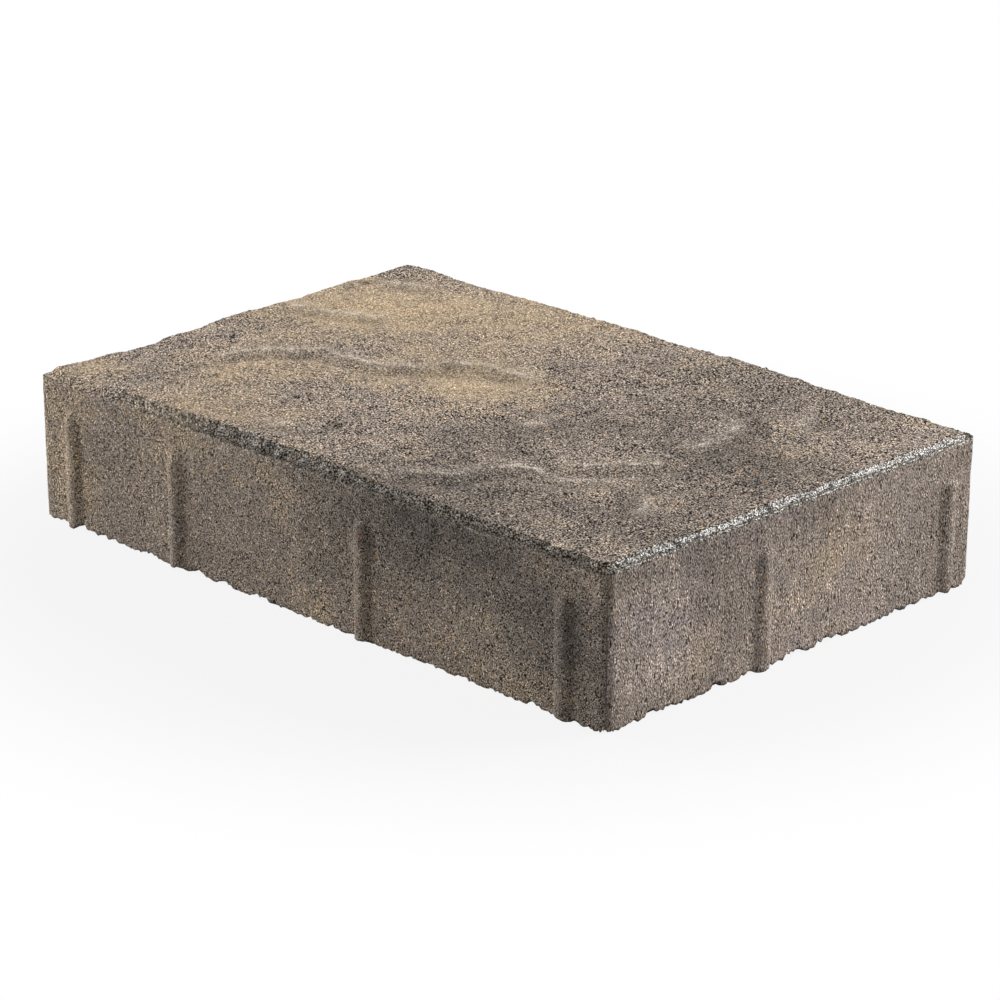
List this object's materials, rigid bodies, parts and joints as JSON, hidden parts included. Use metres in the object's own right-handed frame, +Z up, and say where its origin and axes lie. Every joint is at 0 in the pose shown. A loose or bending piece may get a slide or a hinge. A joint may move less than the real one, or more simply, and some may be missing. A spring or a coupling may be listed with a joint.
{
  "type": "concrete paving stone",
  "caption": "Rectangular cast concrete paver with a riven slate-look top, leaning chamfers round its edge and half-round spacer nibs on its sides.",
  "frame": {"origin": "centre of the flat bed, on the ground", "axes": "+X along the long side, +Y along the short side to the back, +Z up out of the riven top"},
  "size_m": [0.3, 0.2, 0.0627],
  "materials": {
    "concrete": "open-grained cast concrete, charcoal blended with tan"
  },
  "bodies": {
    "root": {"paving_stone": "concrete"}
  },
  "joints": []
}
